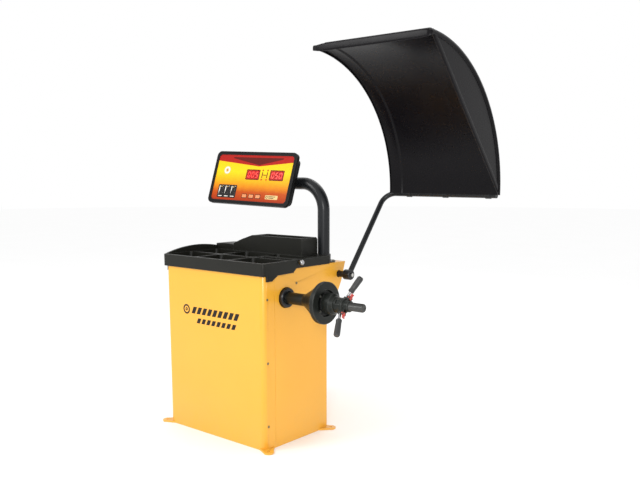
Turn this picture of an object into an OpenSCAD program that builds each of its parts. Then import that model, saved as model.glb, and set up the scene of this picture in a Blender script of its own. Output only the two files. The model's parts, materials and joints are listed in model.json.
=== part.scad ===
// Wheel balancer: sheet-metal cabinet, belt-driven spindle with a quick nut, swinging wheel hood,
// display head on a bent post, and a pull-out distance gauge.
// Millimetres, +Z up, +X towards the wheel side, -Y towards the operator.
// The origin is the middle of the cabinet's footprint, on the floor.

/* [Cabinet] */
// Width across the side panels
cabinet_w = 640; // [620:2:660]
// Depth at the floor
cabinet_d = 420; // [410:2:430]
// Height of the top deck
deck_z = 788; // [784:1:792]
// Sheet thickness of the panels
sheet_t = 2; // [1.5:0.1:2.5]
// Corner radius of the front cover
corner_r = 22; // [16:1:26]
// Thickness of the base plate
base_t = 8; // [6:1:10]
// Radius of the anchor holes
anchor_r = 7; // [5:0.5:8]

/* [Weight tray] */
// How far the tray overhangs the cabinet
tray_overhang = 10; // [8:1:12]
// Height of the tray's rim
tray_rim_z = 825; // [820:1:830]
// Height of the tool shelf
shelf_z = 905; // [890:1:910]

/* [Spindle] */
// Distance of the spindle from the floor
spindle_z = 664; // [660:1:668]
// Distance of the spindle in front of the middle
spindle_front = 68; // [66:1:70]
// Diameter of the threaded shaft
shaft_d = 36; // [35.8:0.1:36]
// Diameter of the wheel flange
flange_d = 180; // [170:1:190]
// X position of the flange face
flange_x = 550; // [548:1:552]
// X position of the shaft's free end
shaft_end_x = 745; // [730:1:750]

/* [Quick nut] */
// Angle of the upper handle above the horizontal
handle_angle = 54; // [40:1:60]
// How far the handles lean outwards
handle_lean = 16.5; // [14:0.5:18]
// Reach of the handles from the spindle axis
handle_reach = 143; // [130:1:150]

/* [Hood] */
// Outer radius of the hood's arc
hood_r = 600; // [595:1:605]
// Diameter of the hood tube
hood_tube_d = 25; // [24:0.5:26]
// Width of the hood
hood_w = 575; // [540:1:580]

/* [Display] */
// Width of the display head
head_w = 500; // [480:2:510]
// Height of the display head
head_h = 265; // [255:1:270]
// Backward tilt of the head
head_tilt = 18.4; // [16:0.1:20]
// Turn of the head towards the wheel side
head_yaw = 6; // [4:0.5:7]
// Roll of the head, wheel side down
head_roll = 2; // [0:0.5:2.5]
// Diameter of the post
post_d = 57; // [56:0.5:58]
// Height of the post's level run
post_top_z = 1153; // [1148:1:1158]

/* [Hidden] */
$fn = 64;

paint = [0.91, 0.66, 0.19];
black = [0.10, 0.10, 0.10];
steel = [0.62, 0.63, 0.65];
dark_steel = [0.20, 0.20, 0.21];
zinc = [0.72, 0.72, 0.70];
red = [0.75, 0.10, 0.08];
board_green = [0.10, 0.35, 0.18];

hw = cabinet_w / 2;
hd = cabinet_d / 2;
fit_gap = 0.05;
face_gap = 0.4;

// The side profile of the cabinet's back, in (y, z): upright, then sloping out to hold the hood shaft.
knee_z = 498;
upper_y = 317;
upper_z = 695;
rear_top_y = 347;
panel_top_z = deck_z - sheet_t;
seam_y = -hd + 69;

// Bearings and shaft stations along X
bearing_x = [62, 278];
bearing_w = 18;
bearing_or = 40;
journal_r = 20;
ball_r = 5.8;
ball_pitch_r = 30;
ball_count = 12;
housing_r = 48;
housing_x0 = 45;
housing_x1 = 297;
shaft_r = shaft_d / 2;

// Belt drive
pulley_x0 = 6;
pulley_w = 22;
driven_r = 90;
motor_pulley_r = 25;
motor_y = 60;
motor_z = 260;
motor_r = 60;
motor_x0 = -210;
motor_x1 = -40;
belt_t = 4;
belt_gap = 0.3;

// Wheel clamp stations along X
cup_x0 = 556;
cup_x1 = 606;
cup_r = 45;
nut_x0 = cup_x1 + face_gap;
nut_x1 = 652;
nut_nose_x = 676;
nut_r = 32;
handle_x = 628;
lever_pivot = [17, 43];
jaw_x0 = 616;
jaw_x1 = 640;
jaw_w = 22;
jaw_out_r = 27;

// Hood
pivot_y = 300;
pivot_z = 732;
hood_shaft_r = 15;
hood_tube_x = hw + 60;
hood_x0 = 431.5;
hood_x1 = hood_x0 + hood_w;
hood_t = 4;
hood_step = 6;
hood_band = 55;
arc_y = -35;
arc_z = 1120;
arc_start = -1.3;
arc_end = 88;
top_lip = 30;
clamp_t = 3;
hood_run_y = arc_y + hood_r + hood_step + hood_tube_d / 2 + clamp_t + 0.2;
hood_run_z = 1104;
hood_bend_r = 60;
stop_bar_r = 6;
stop_arm_half = 8;
stop_arm_angle = 150;
hood_swing = 75;
bracket_x = [262, 300];
bracket_t = 6;

// Display post and head
post_x = 258;
post_y = 262;
post_r = post_d / 2;
post_bend_r = 125;
post_end_x = -190;
socket_r = post_r + 27;
socket_t = 6;
post_bottom_z = deck_z + socket_t + 0.3;
socket_screws = [for (a = [45:90:359]) [post_x, post_y, 0] + concat(46 * [cos(a), sin(a)], 0)];
head_pos = [-105, 150, 1178];
head_r = 25;
head_depth = 56;
frame_depth = 18;
bezel = 17;
overlay_y = 2.5;
overlay_t = 2;
key_size = [26, 16];
key_z = -90;
key_x = [20, 62, -22];
key_proud = 1;
window_size = [76, 43];
window_x = [3, 149];
window_z = 18;

// Distance gauge
gauge_y = 14;
gauge_z = 812;
gauge_r = 6;

// ---------- helpers ----------

// Places a shape drawn in (y, z) at X = x and extrudes it along +X.
module along_x(x, length) {
    translate([x, 0, 0]) rotate([90, 0, 90]) linear_extrude(length) children();
}

// Revolves an outline of [x, radius] points about the X axis.
module lathe_x(outline, fn = 96) {
    rotate([0, 90, 0]) rotate_extrude($fn = fn) polygon([for (p = outline) [p[1], p[0]]]);
}

// A ring about the X axis.
module ring_x(x0, x1, r_in, r_out) {
    lathe_x([[x0, r_in], [x1, r_in], [x1, r_out], [x0, r_out]]);
}

// A rounded rectangle with true arcs.
module round_rect(w, d, r) {
    square([w - 2 * r, d], center = true);
    square([w, d - 2 * r], center = true);
    for (sx = [-1, 1], sy = [-1, 1])
        translate([sx * (w / 2 - r), sy * (d / 2 - r)]) circle(r);
}

// A pan-head screw along +Z, its head's seat at z = 0.
module pan_screw(r, length) {
    rotate_extrude($fn = 32) polygon([
        [0, -length], [r, -length], [r, 0], [2 * r, 0], [2 * r, 0.5 * r], [1.3 * r, 1.1 * r], [0, 1.1 * r]
    ]);
}

module on_spindle() {
    translate([0, -spindle_front, spindle_z]) children();
}

// The frame of one handle: +Y runs out along the handle and leans towards +X.
module handle_frame(side) {
    on_spindle() translate([handle_x, 0, 0])
        rotate([handle_angle + (side > 0 ? 0 : 180), 0, 0]) rotate([0, 0, -handle_lean]) children();
}

// The frame of the display head: the face is at y = 0 and looks along -Y.
module head_frame() {
    translate(head_pos) rotate([0, 0, head_yaw]) rotate([-head_tilt, 0, 0]) rotate([0, head_roll, 0])
        children();
}

// A rounded plate parallel to the head's face, from depth y0 to y1.
module head_plate(w, h, r, y0, y1) {
    translate([0, y1, 0]) rotate([90, 0, 0]) linear_extrude(y1 - y0) round_rect(w, h, r);
}

function polar(a, r) = [r * cos(a), r * sin(a)];

// Centre of a stop bar beside the stop arm, on the side given, when the arm points at angle a.
function stop_bar(a, side) =
    [pivot_y, pivot_z] + polar(a, 36) + polar(a + side * 90, stop_arm_half + stop_bar_r + belt_gap);

// ---------- cabinet ----------

side_screws_z = [107, 390, 668];
rear_screws_z = [60, 250, 440];
deck_screws_x = [-290, 0, 200];

module anchor_spots() {
    for (sx = [-1, 1], sy = [-1, 1]) translate([sx * (hw + 24), sy * (hd + 2)]) children();
}

module base_plate() {
    color(paint) difference() {
        union() {
            translate([0, 0, base_t / 2]) cube([cabinet_w, cabinet_d, base_t], center = true);
            for (sx = [-1, 1], sy = [-1, 1])
                linear_extrude(base_t) polygon([
                    [sx * (hw - 50), sy * (hd - 6)], [sx * (hw + 13), sy * (hd + 21)],
                    [sx * (hw + 39), sy * (hd - 13)], [sx * (hw - 6), sy * (hd - 66)]
                ]);
            anchor_spots() cylinder(h = base_t, r = 23);
        }
        anchor_spots() translate([0, 0, -1]) cylinder(h = base_t + 2, r = anchor_r);
    }
}

module front_section(w, front, r) {
    intersection() {
        translate([0, -front + 200]) round_rect(w, 400, r);
        translate([-w, -front - 1]) square([2 * w, seam_y + front + 1]);
    }
}

module front_cover() {
    color(paint) difference() {
        translate([0, 0, base_t]) linear_extrude(panel_top_z - base_t) difference() {
            front_section(cabinet_w, hd, corner_r);
            translate([0, 0.01]) front_section(cabinet_w - 2 * sheet_t, hd - sheet_t, corner_r - sheet_t);
        }
        for (sx = [-1, 1], z = side_screws_z)
            translate([sx * hw, seam_y - 45, z]) rotate([0, 90, 0]) cylinder(h = 20, r = 3, center = true);
    }
}

module side_outline(front) {
    polygon([
        [front, base_t], [hd - sheet_t, base_t], [hd - sheet_t, knee_z + 0.5],
        [upper_y - sheet_t, upper_z + 0.5], [rear_top_y - sheet_t, panel_top_z], [front, panel_top_z]
    ]);
}

module side_panel_sheet(x) {
    along_x(x, sheet_t) side_outline(seam_y + 1);
}

module right_side_panel() {
    color(paint) difference() {
        side_panel_sheet(hw - sheet_t);
        on_spindle() translate([hw, 0, 0]) rotate([0, 90, 0]) cylinder(h = 20, r = 46, center = true);
        translate([hw, pivot_y, pivot_z]) rotate([0, 90, 0]) cylinder(h = 20, r = 17, center = true);
        translate([hw, 0, deck_z - 67]) rotate([0, 90, 0]) cylinder(h = 20, r = 3, center = true);
    }
}

module left_side_panel() {
    color(paint) side_panel_sheet(-hw);
}

module rear_panel() {
    outer = [[hd, base_t], [hd, knee_z], [upper_y, upper_z], [rear_top_y, panel_top_z]];
    inner = [
        [rear_top_y - sheet_t, panel_top_z], [upper_y - sheet_t, upper_z + 0.5],
        [hd - sheet_t, knee_z + 0.5], [hd - sheet_t, base_t]
    ];
    color(paint) difference() {
        along_x(-hw, cabinet_w) polygon(concat(outer, inner));
        for (row = [0:6])
            translate([60, hd, 120 + 22 * row]) rotate([90, 0, 0])
                linear_extrude(20, center = true) round_rect(180, 8, 3.9);
        translate([-170, hd, 300]) cube([80, 20, 30], center = true);
        for (sx = [-1, 1], z = rear_screws_z)
            translate([sx * (hw - 20), hd, z]) rotate([90, 0, 0]) cylinder(h = 20, r = 3, center = true);
    }
}

module top_deck() {
    color(paint) difference() {
        translate([-hw, -hd + sheet_t, panel_top_z])
            cube([cabinet_w, rear_top_y + hd - sheet_t, sheet_t]);
        for (x = deck_screws_x)
            translate([x, rear_top_y - 20, panel_top_z - 5]) cylinder(h = 20, r = 3);
    }
}

module panel_screws() {
    color(zinc) {
        for (sx = [-1, 1], z = side_screws_z)
            translate([sx * hw, seam_y - 45, z]) rotate([0, sx * 90, 0]) pan_screw(2.8, 8);
        translate([hw, 0, deck_z - 67]) rotate([0, 90, 0]) pan_screw(2.8, 8);
        for (sx = [-1, 1], z = rear_screws_z)
            translate([sx * (hw - 20), hd, z]) rotate([-90, 0, 0]) pan_screw(2.8, 8);
        for (x = deck_screws_x)
            translate([x, rear_top_y - 20, deck_z]) pan_screw(2.8, 8);
        for (p = socket_screws) translate(p + [0, 0, deck_z + socket_t]) pan_screw(3, socket_t);
    }
}

// ---------- tray ----------

tray_x = hw + tray_overhang;
tray_front = -hd - tray_overhang;
tray_back = post_y - post_r - 4;
pocket_floor_z = deck_z + 8;
shelf_front = 120;
shelf_x0 = -205;
shelf_x1 = 247;
// Pockets as [left, front, right, back]
pockets = [
    [-316, -206, -112, -58], [-102, -206, 98, -58], [108, -206, 316, -58],
    [-316, -46, -112, 106], [-102, -46, 98, 106], [108, -46, 316, -4], [108, 32, 316, 106]
];

module skirt_outline() {
    polygon([
        [tray_front, tray_rim_z - 55], [tray_front + 25, tray_rim_z - 55],
        [tray_front + 25, tray_rim_z - 79], [tray_front + 55, tray_rim_z - 79],
        [tray_front + 92, tray_rim_z - 57], [tray_front + 190, tray_rim_z - 55],
        [tray_front + 210, tray_rim_z - 37], [tray_back, tray_rim_z - 37],
        [tray_back, tray_rim_z], [tray_front, tray_rim_z]
    ]);
}

// The raised walls along the tray's left side and the back: low rounded crests.
crest = 30;
crest_r = 680;

module crest_wall(length, thickness) {
    linear_extrude(thickness) intersection() {
        union() {
            translate([length * 0.46, crest - crest_r]) circle(crest_r, $fn = 360);
            translate([length, crest - 4 - crest_r / 2]) circle(crest_r / 2, $fn = 360);
        }
        translate([0, -1]) square([length, crest + 2]);
    }
}

module tray_crests() {
    translate([-tray_x, tray_front + 10, tray_rim_z]) rotate([90, 0, 90])
        crest_wall(tray_back - tray_front - 10, 13);
    translate([-tray_x, tray_back, tray_rim_z]) rotate([90, 0, 0])
        crest_wall(shelf_x0 + tray_x - 0.2, 110);
}

module weight_tray() {
    color(black) difference() {
        union() {
            intersection() {
                along_x(-tray_x, 2 * tray_x) skirt_outline();
                translate([0, (tray_front + tray_back) / 2, 700])
                    linear_extrude(200) round_rect(2 * tray_x, tray_back - tray_front, 14);
            }
            tray_crests();
        }
        translate([-hw - 1.5, -hd - 1.5, 0]) cube([cabinet_w + 3, 600, deck_z + 0.2]);
        for (p = pockets)
            translate([(p[0] + p[2]) / 2, (p[1] + p[3]) / 2, pocket_floor_z])
                linear_extrude(100) round_rect(p[2] - p[0], p[3] - p[1], 14);
        translate([103, gauge_y, gauge_z]) rotate([0, 90, 0]) cylinder(h = 300, r = gauge_r + 2);
        translate([300, gauge_y, gauge_z]) rotate([0, 90, 0]) cylinder(h = 100, r = gauge_r + 4);
        translate([post_x, post_y, deck_z - 1]) cylinder(h = 13, r = socket_r + 1);
        translate([post_x, post_y, deck_z - 1]) cylinder(h = 100, r = post_r + 6);
    }
}

module shelf_outline(inset) {
    polygon([
        [shelf_x0 + inset, tray_rim_z + inset], [shelf_x0 + inset, shelf_z - 45],
        [shelf_x0 + 60, shelf_z - 22], [shelf_x0 + 130, shelf_z - 2 * inset / 8],
        [shelf_x1 - 8 - inset, shelf_z], [shelf_x1 - inset, shelf_z - 8],
        [shelf_x1 - inset, tray_rim_z + inset]
    ]);
}

module tool_shelf() {
    shelf_back = tray_back;
    color(black) difference() {
        translate([0, shelf_back, 0]) rotate([90, 0, 0])
            linear_extrude(shelf_back - shelf_front) shelf_outline(0);
        translate([(shelf_x0 + 140 + shelf_x1 - 16) / 2, (shelf_front + shelf_back) / 2, shelf_z - 45])
            linear_extrude(60) round_rect(shelf_x1 - shelf_x0 - 156, shelf_back - shelf_front - 20, 10);
    }
}

module gauge_guide() {
    color("darkgoldenrod") on_gauge() ring_x(tray_x - 28, tray_x + 2, gauge_r + fit_gap, gauge_r + 4);
}

module on_gauge() {
    translate([0, gauge_y, gauge_z]) children();
}

module gauge_rod() {
    color(steel) on_gauge() lathe_x([
        [110, 0], [110, gauge_r - 1], [111, gauge_r], [tray_x + 5, gauge_r], [tray_x + 5, 10],
        [tray_x + 8, 11], [tray_x + 14, 11], [tray_x + 17, 9], [tray_x + 17, 0]
    ]);
}

// ---------- spindle support and drive ----------

column_x0 = 80;
column_x1 = 262;
column_half = 70;
column_top_z = spindle_z - 66;
sensor_x = [110, 232];
sensor_t = 6;
foot_t = 14;
column_lid = 15;
bolt_hole_r = 5;

module spindle_column() {
    color(dark_steel) difference() {
        union() {
            translate([column_x0, -spindle_front - column_half, base_t])
                cube([column_x1 - column_x0, 2 * column_half, column_top_z - base_t - 10]);
            translate([column_x0 - 10, -spindle_front - column_half - 10, column_top_z - 10])
                cube([column_x1 - column_x0 + 20, 2 * column_half + 20, 10]);
        }
        translate([column_x0 + 5, -spindle_front - column_half + 5, base_t + 5])
            cube([column_x1 - column_x0 - 10, 2 * column_half - 10, column_top_z - column_lid - base_t - 5]);
        translate([column_x0 - 1, -spindle_front - 40, base_t + 40])
            cube([column_x1 - column_x0 + 2, 80, 300]);
        for (x = sensor_x)
            translate([x, -spindle_front, column_top_z - 20]) cylinder(h = 40, r = bolt_hole_r);
    }
}

module piezo_sensors() {
    color("goldenrod") for (x = sensor_x)
        translate([x, -spindle_front, column_top_z]) difference() {
            cylinder(h = sensor_t, r = 18);
            translate([0, 0, -1]) cylinder(h = sensor_t + 2, r = bolt_hole_r);
        }
}

module sensor_bolts() {
    color(zinc) for (x = sensor_x)
        translate([x, -spindle_front, column_top_z - column_lid]) {
            cylinder(h = column_lid + sensor_t + foot_t - 4, r = 4.2);
            translate([0, 0, -7]) cylinder(h = 7, r = 8, $fn = 6);
        }
}

module spindle_housing() {
    foot_z = column_top_z + sensor_t - spindle_z;
    color(dark_steel) difference() {
        on_spindle() union() {
            ring_x(housing_x0, housing_x1, 34, housing_r);
            for (x = sensor_x) translate([x - 30, -34, foot_z]) cube([60, 68, foot_t]);
            for (x = sensor_x) translate([x - 6 + sign(x - 170) * 22, -20, foot_z + foot_t])
                cube([12, 40, 18]);
        }
        on_spindle() ring_x(housing_x0 - 1, housing_x1 + 1, 0, 34);
        on_spindle() for (x = bearing_x)
            ring_x(x - bearing_w / 2, x + bearing_w / 2, 0, bearing_or);
        on_spindle() ring_x(housing_x0 - 1, bearing_x[0], 0, bearing_or);
        on_spindle() ring_x(bearing_x[1], housing_x1 + 1, 0, bearing_or);
        for (x = sensor_x)
            translate([x, -spindle_front, column_top_z]) cylinder(h = sensor_t + foot_t - 3, r = bolt_hole_r);
    }
}

module spindle_collar() {
    color(dark_steel) on_spindle() lathe_x([
        [housing_x1, 30], [housing_x1, 56], [housing_x1 + 8, 56], [housing_x1 + 8, 43.5],
        [hw + 12, 43.5], [hw + 16, 40], [hw + 16, 30]
    ]);
}

module ball_groove(x) {
    on_spindle() translate([x, 0, 0]) rotate([0, 90, 0])
        rotate_extrude($fn = 96) translate([ball_pitch_r, 0]) circle(ball_r + 0.3, $fn = 48);
}

module bearing_outer_rings() {
    color(steel) for (x = bearing_x) difference() {
        on_spindle() ring_x(x - bearing_w / 2, x + bearing_w / 2, ball_pitch_r + 3.5, bearing_or);
        ball_groove(x);
    }
}

module bearing_inner_rings() {
    color(steel) for (x = bearing_x) difference() {
        on_spindle() ring_x(x - bearing_w / 2, x + bearing_w / 2, journal_r, ball_pitch_r - 3.5);
        ball_groove(x);
    }
}

module bearing_balls() {
    color(zinc) on_spindle() for (x = bearing_x, a = [0:360 / ball_count:359])
        translate(concat(x, polar(a, ball_pitch_r))) sphere(ball_r, $fn = 24);
}

module main_shaft() {
    color(steel) on_spindle() lathe_x([
        [-10, 0], [-10, 14], [-8, 15], [4, 15], [4, 17.5], [42, 17.5], [42, journal_r],
        [bearing_x[1] + bearing_w / 2, journal_r], [bearing_x[1] + bearing_w / 2, 24],
        [hw + 16, 24], [hw + 16, journal_r], [flange_x - 11, journal_r], [flange_x - 11, shaft_r],
        [shaft_end_x - 3, shaft_r], [shaft_end_x, shaft_r - 3], [shaft_end_x, 0]
    ]);
}

flange_r = flange_d / 2;
recess_r = 58;
recess_floor_x = flange_x - 12;

module wheel_flange() {
    color(dark_steel) on_spindle() difference() {
        lathe_x([
            [hw + 16, journal_r], [hw + 16, 26], [430, 26], [442, 30], [470, 46], [500, 65],
            [522, 80], [528, flange_r - 3], [531, flange_r], [flange_x - 2, flange_r],
            [flange_x, flange_r - 2], [flange_x, recess_r], [recess_floor_x, recess_r - 4],
            [recess_floor_x, journal_r]
        ]);
        for (a = [0:90:359])
            translate(concat(recess_floor_x - 12, polar(a + 45, 44))) rotate([0, 90, 0])
                cylinder(h = 30, r = 4.3);
    }
}

module flange_screws() {
    color(black) on_spindle() for (a = [0:90:359])
        translate(concat(recess_floor_x - 8, polar(a + 45, 44))) rotate([0, 90, 0]) difference() {
            union() {
                cylinder(h = 10, r = 4);
                translate([0, 0, 8]) cylinder(h = 6, r = 6.5);
            }
            translate([0, 0, 11]) cylinder(h = 5, r = 3.2, $fn = 6);
        }
}

module driven_pulley() {
    color(steel) on_spindle() difference() {
        lathe_x([
            [pulley_x0 - 2, 17.5], [pulley_x0 - 2, 30], [pulley_x0 + 7, 30], [pulley_x0 + 7, 78],
            [pulley_x0, 78], [pulley_x0, driven_r + 3], [pulley_x0 + 2, driven_r + 3],
            [pulley_x0 + 2, driven_r], [pulley_x0 + pulley_w - 2, driven_r],
            [pulley_x0 + pulley_w - 2, driven_r + 3], [pulley_x0 + pulley_w, driven_r + 3],
            [pulley_x0 + pulley_w, 78], [pulley_x0 + pulley_w - 7, 78],
            [pulley_x0 + pulley_w - 7, 30], [pulley_x0 + pulley_w, 30], [pulley_x0 + pulley_w, 17.5]
        ]);
        for (a = [0:60:359])
            translate(concat(pulley_x0 - 5, polar(a, 54))) rotate([0, 90, 0]) cylinder(h = 40, r = 15);
    }
}

disc_x = pulley_x0 + pulley_w + 7;
disc_r = 58;

module encoder_disc() {
    color(black) on_spindle() difference() {
        union() {
            ring_x(disc_x, disc_x + 1.5, 17.5, disc_r);
            ring_x(disc_x - 7, disc_x, 17.5, 24);
        }
        for (a = [0:15:359])
            translate([disc_x - 1, 0, 0]) rotate([a, 0, 0]) translate([0, disc_r - 10, -2]) cube([4, 7, 4]);
    }
}

module encoder_sensor() {
    color(black) on_spindle() difference() {
        translate([disc_x - 5, -12, disc_r - 14]) cube([housing_x0 - disc_x + 5, 24, 30]);
        translate([disc_x - 2.5, -13, disc_r - 15]) cube([6.5, 26, 19]);
        translate([disc_x + 7.9, -13, disc_r - 15]) cube([10, 26, 5]);
    }
}

module shaft_lock_nut() {
    color(zinc) on_spindle() difference() {
        rotate([0, 90, 0]) translate([0, 0, -7]) cylinder(h = 11, r = 25, $fn = 6);
        ring_x(-8, 5, 0, 15);
    }
}

module on_motor() {
    translate([0, motor_y, motor_z]) children();
}

module motor_body() {
    color(dark_steel) on_motor() {
        lathe_x([
            [motor_x0, 0], [motor_x0, motor_r - 12], [motor_x0 + 12, motor_r], [motor_x1 - 8, motor_r],
            [motor_x1 - 8, motor_r - 8], [motor_x1, motor_r - 16], [motor_x1, 12.1], [motor_x1 - 30, 12.1],
            [motor_x1 - 30, 0]
        ]);
        translate([motor_x0 + 40, -30, motor_r - 3]) cube([80, 60, 28]);
    }
}

module motor_bracket() {
    color(dark_steel) difference() {
        union() {
            translate([motor_x0 + 15, motor_y - 70, base_t]) cube([motor_x1 - motor_x0 - 30, 140, 6]);
            for (x = [motor_x0 + 20, motor_x1 - 28])
                translate([x, motor_y - 55, base_t]) cube([8, 110, motor_z - base_t - 10]);
        }
        on_motor() ring_x(motor_x0, motor_x1, 0, motor_r);
    }
}

module motor_pulley() {
    color(steel) on_motor() {
        lathe_x([
            [motor_x1 - 28, 0], [motor_x1 - 28, 12], [pulley_x0, 12], [pulley_x0, motor_pulley_r + 3],
            [pulley_x0 + 2, motor_pulley_r + 3], [pulley_x0 + 2, motor_pulley_r],
            [pulley_x0 + pulley_w - 2, motor_pulley_r], [pulley_x0 + pulley_w - 2, motor_pulley_r + 3],
            [pulley_x0 + pulley_w, motor_pulley_r + 3], [pulley_x0 + pulley_w, 0]
        ]);
    }
}

belt_steps = 48;

// The points of a taut loop round both pulleys, at a distance from their rims.
function belt_outline(gap) =
    let (
        from = [motor_y, motor_z],
        to = [-spindle_front, spindle_z],
        dir = atan2(to[1] - from[1], to[0] - from[0]),
        r1 = motor_pulley_r + gap,
        r2 = driven_r + gap,
        wrap = acos((r1 - r2) / norm(to - from))
    )
    concat(
        [for (i = [0:belt_steps]) to + polar(dir - wrap + 2 * wrap * i / belt_steps, r2)],
        [for (i = [0:belt_steps]) from + polar(dir + wrap + (360 - 2 * wrap) * i / belt_steps, r1)]
    );

module drive_belt() {
    color(black) along_x(pulley_x0 + 3, pulley_w - 6) difference() {
        polygon(belt_outline(belt_gap + belt_t));
        polygon(belt_outline(belt_gap));
    }
}

module power_board() {
    color(board_green) {
        translate([-hw + sheet_t + 14, -120, 420]) cube([2, 200, 160]);
        for (y = [-100, 60], z = [440, 560])
            translate([-hw + sheet_t, y, z]) rotate([0, 90, 0]) cylinder(h = 14, r = 4);
        translate([-hw + sheet_t + 16, -90, 450]) cube([45, 70, 60]);
        translate([-hw + sheet_t + 16, 20, 450]) cube([25, 30, 100]);
        for (z = [530, 560])
            translate([-hw + sheet_t + 16, -60, z]) rotate([0, 90, 0]) cylinder(h = 35, r = 11);
    }
}

// ---------- mains inlet and switch ----------

inlet_x = -170;
inlet_z = 300;
rocker_x = inlet_x + 24;
rocker_swing = 16;

module mains_inlet() {
    color(black) difference() {
        union() {
            translate([inlet_x - 46, hd, inlet_z - 20]) cube([92, 4, 40]);
            translate([inlet_x - 39, hd - 28, inlet_z - 14]) cube([78, 28, 28]);
        }
        translate([inlet_x - 33, hd - 16, inlet_z - 10]) cube([30, 40, 20]);
        translate([rocker_x - 10, hd - 22, inlet_z - 12]) cube([20, 40, 24]);
    }
    color(zinc) for (dx = [-9, 0, 9])
        translate([inlet_x - 19 + dx, hd - 17, inlet_z - 3]) cube([2, 12, 6]);
}

module mains_switch() {
    color(red) translate([rocker_x, hd - 4, inlet_z]) rotate([-rocker_swing / 2, 0, 0])
        along_x(-9.5, 19) {
            difference() {
                translate([0, 0]) circle(11.2, $fn = 64);
                translate([-30, -15]) square([30, 30]);
                translate([20.5, 0]) circle(14, $fn = 64);
            }
            translate([-8, -3]) square([9, 6]);
        }
}

// ---------- wheel clamp ----------

module pressure_cup() {
    color(dark_steel) on_spindle() lathe_x([
        [cup_x0, cup_r - 5], [cup_x0, cup_r], [cup_x1 - 14, cup_r], [cup_x1 - 4, 36],
        [cup_x1, 34], [cup_x1, shaft_r + fit_gap], [cup_x1 - 16, shaft_r + fit_gap],
        [cup_x1 - 16, 31], [cup_x1 - 22, cup_r - 5]
    ]);
}

module cup_rubber_ring() {
    color(black) on_spindle() lathe_x([
        [cup_x0 - 5, cup_r - 6], [cup_x0 - 5, cup_r + 0.5], [cup_x0 - 4, cup_r + 1.5],
        [cup_x0, cup_r + 1.5], [cup_x0, cup_r - 6]
    ]);
}

module nut_body() {
    color(dark_steel) difference() {
        union() {
            on_spindle() lathe_x([
                [nut_x0, shaft_r + fit_gap], [nut_x0, nut_r - 2], [nut_x0 + 2, nut_r],
                [nut_x1 - 2, nut_r], [nut_x1, nut_r - 2], [nut_x1, 24], [nut_nose_x - 2, 24],
                [nut_nose_x, 22], [nut_nose_x, shaft_r + fit_gap]
            ]);
            for (side = [1, -1]) {
                handle_frame(side) translate([0, 24, 0]) rotate([-90, 0, 0]) cylinder(h = 14, r = 11);
                handle_frame(side) difference() {
                    for (z = [-11.4, 7.4]) translate([6, 24, z]) cube([16, 24, 4]);
                    translate([lever_pivot[0], lever_pivot[1], -15]) cylinder(h = 30, r = 3 + fit_gap);
                }
            }
        }
        on_spindle() ring_x(nut_x0 - 1, nut_nose_x + 1, 0, shaft_r + fit_gap);
        on_spindle() rotate([handle_angle, 0, 0])
            translate([jaw_x0, -jaw_w / 2, -nut_r - 1]) cube([jaw_x1 - jaw_x0, jaw_w, 2 * nut_r + 2]);
        for (side = [1, -1])
            handle_frame(side) translate([0, 26, 0]) rotate([-90, 0, 0]) cylinder(h = 20, r = 6);
    }
}

module nut_handles() {
    color(steel) for (side = [1, -1])
        handle_frame(side) translate([0, 26, 0]) rotate([-90, 0, 0]) cylinder(h = handle_reach - 36, r = 6);
}

module handle_grips() {
    color([0.30, 0.30, 0.30]) for (side = [1, -1])
        handle_frame(side) rotate([-90, 0, 0]) difference() {
            rotate_extrude($fn = 48) polygon([
                [0, 66], [10, 66], [13, 70], [12, 84], [13, 100], [13.5, handle_reach - 6],
                [10, handle_reach], [0, handle_reach]
            ]);
            cylinder(h = handle_reach - 10, r = 6);
        }
}

module release_lever(side) {
    px = lever_pivot[0];
    py = lever_pivot[1];
    color(red) handle_frame(side) {
        translate([px, py, -13]) cylinder(h = 26, r = 3);
        translate([px - 3, py - 5, -7]) cube([8, 13, 14]);
        difference() {
            translate([px - 1, py + 6, -7]) cube([6, 14, 14]);
            translate([px + 15, py + 13, -8]) cylinder(h = 16, r = 12);
        }
    }
}

module release_lever_upper() {
    release_lever(1);
}

module release_lever_lower() {
    release_lever(-1);
}

module thread_jaw(side) {
    color("darkgoldenrod") on_spindle() rotate([handle_angle, 0, 0]) difference() {
        translate([jaw_x0 + 0.2, -jaw_w / 2 + 0.2, side > 0 ? 8 : -jaw_out_r])
            cube([jaw_x1 - jaw_x0 - 0.4, jaw_w - 0.4, jaw_out_r - 8]);
        ring_x(jaw_x0 - 1, jaw_x1 + 1, 0, shaft_r + fit_gap);
    }
}

module thread_jaw_upper() {
    thread_jaw(1);
}

module thread_jaw_lower() {
    thread_jaw(-1);
}

// ---------- hood ----------

// Revolves [radius, x] outlines about the hood arc's axis between two angles.
module hood_sweep(a0, a1, outline) {
    translate([0, arc_y, arc_z]) rotate([90, 0, 90]) rotate([0, 0, a0])
        rotate_extrude(angle = a1 - a0, $fn = 180) polygon(outline);
}

module hood_shell() {
    pan_r = hood_r + hood_step;
    band_x = hood_x0 + hood_band;
    lip_r = hood_r - top_lip;
    inner_r = hood_r - hood_t;
    color(black) {
        difference() {
            hood_sweep(arc_start, arc_end, [
                [lip_r, hood_x0], [hood_r, hood_x0], [hood_r, band_x], [pan_r, band_x + 8],
                [pan_r, hood_x1 - 12], [hood_r - 6, hood_x1], [lip_r, hood_x1]
            ]);
            hood_sweep(arc_start - 1, arc_end - 0.4, [
                [lip_r - 1, hood_x0 - 1], [hood_r - 12, hood_x0 - 1], [hood_r - 12, hood_x0 + 4],
                [inner_r, hood_x0 + 4], [inner_r, band_x + 3], [pan_r - hood_t, band_x + 11],
                [pan_r - hood_t, hood_x1 - 16], [hood_r - 10, hood_x1 - hood_t],
                [lip_r - 1, hood_x1 - hood_t]
            ]);
        }
        along_x(hood_x1 - hood_t, hood_t) translate([arc_y, arc_z]) hood_segment();
    }
}

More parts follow.
